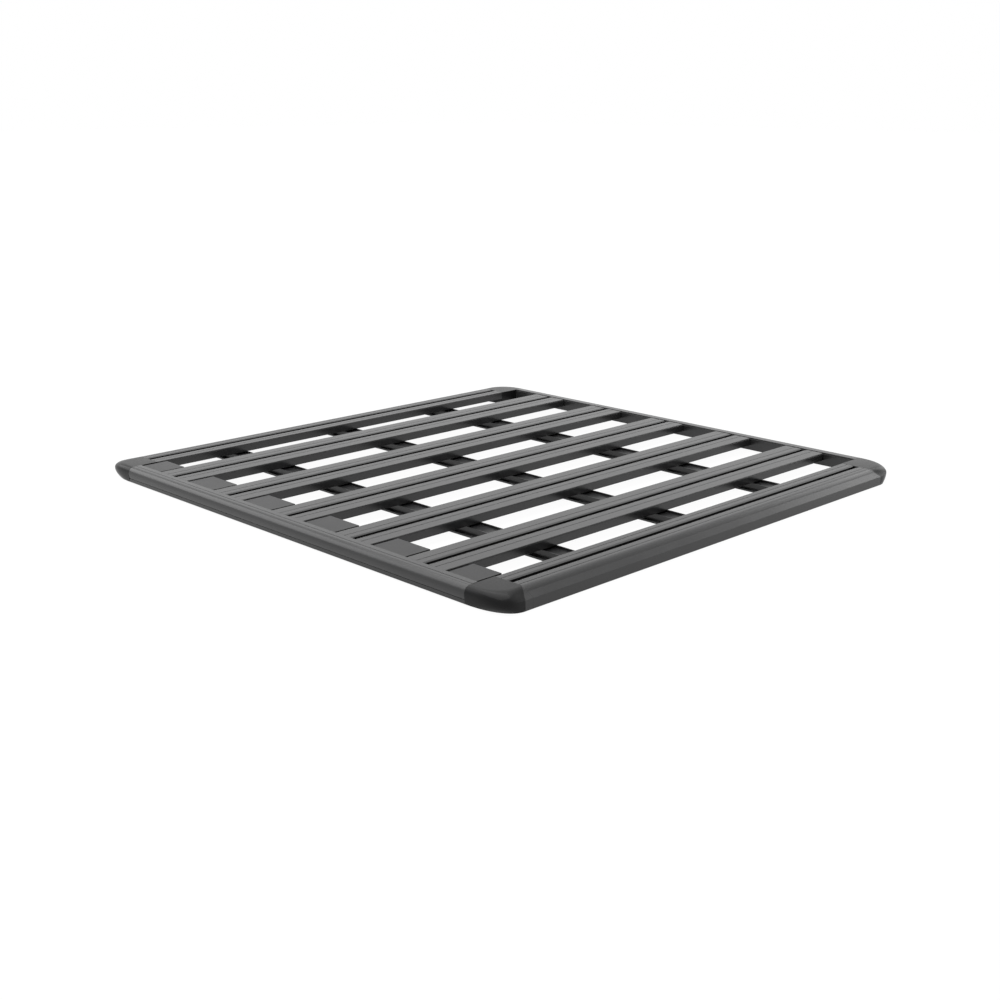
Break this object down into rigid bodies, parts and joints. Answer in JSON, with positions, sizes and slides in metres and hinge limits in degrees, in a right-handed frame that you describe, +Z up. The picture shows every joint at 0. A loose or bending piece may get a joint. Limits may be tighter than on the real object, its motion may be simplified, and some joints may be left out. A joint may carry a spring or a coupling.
{
  "type": "flat platform roof rack",
  "caption": "Low flat roof platform of slotted lengthwise planks in a frame of rounded rails and corner castings, on slotted crossbars, for carrying loads on a vehicle's roof.",
  "frame": {"origin": "under the middle of the rack, at the level of the crossbars' undersides", "axes": "+Z up, +X from the front rail to the rear rail along the planks, +Y from the left rail to the right rail"},
  "size_m": [1.362, 1.376, 0.0385],
  "materials": {
    "extrusion": "fine-textured black powder coat, satin",
    "corner": "smooth satin black, a little darker than the extrusions",
    "crossbar": "black powder coat, satin",
    "infill": "smooth satin black"
  },
  "bodies": {
    "root": {"front_rail": "extrusion", "rear_rail": "extrusion", "left_rail": "extrusion", "right_rail": "extrusion", "plank_1": "extrusion", "plank_2": "extrusion", "plank_3": "extrusion", "plank_4": "extrusion", "plank_5": "extrusion", "corner_front_left": "corner", "corner_front_right": "corner", "corner_rear_left": "corner", "corner_rear_right": "corner", "crossbar_front": "crossbar", "crossbar_middle": "crossbar", "crossbar_rear": "crossbar", "infill_1": "infill", "infill_2": "infill", "infill_3": "infill", "infill_4": "infill", "infill_5": "infill", "infill_6": "infill"}
  },
  "joints": []
}
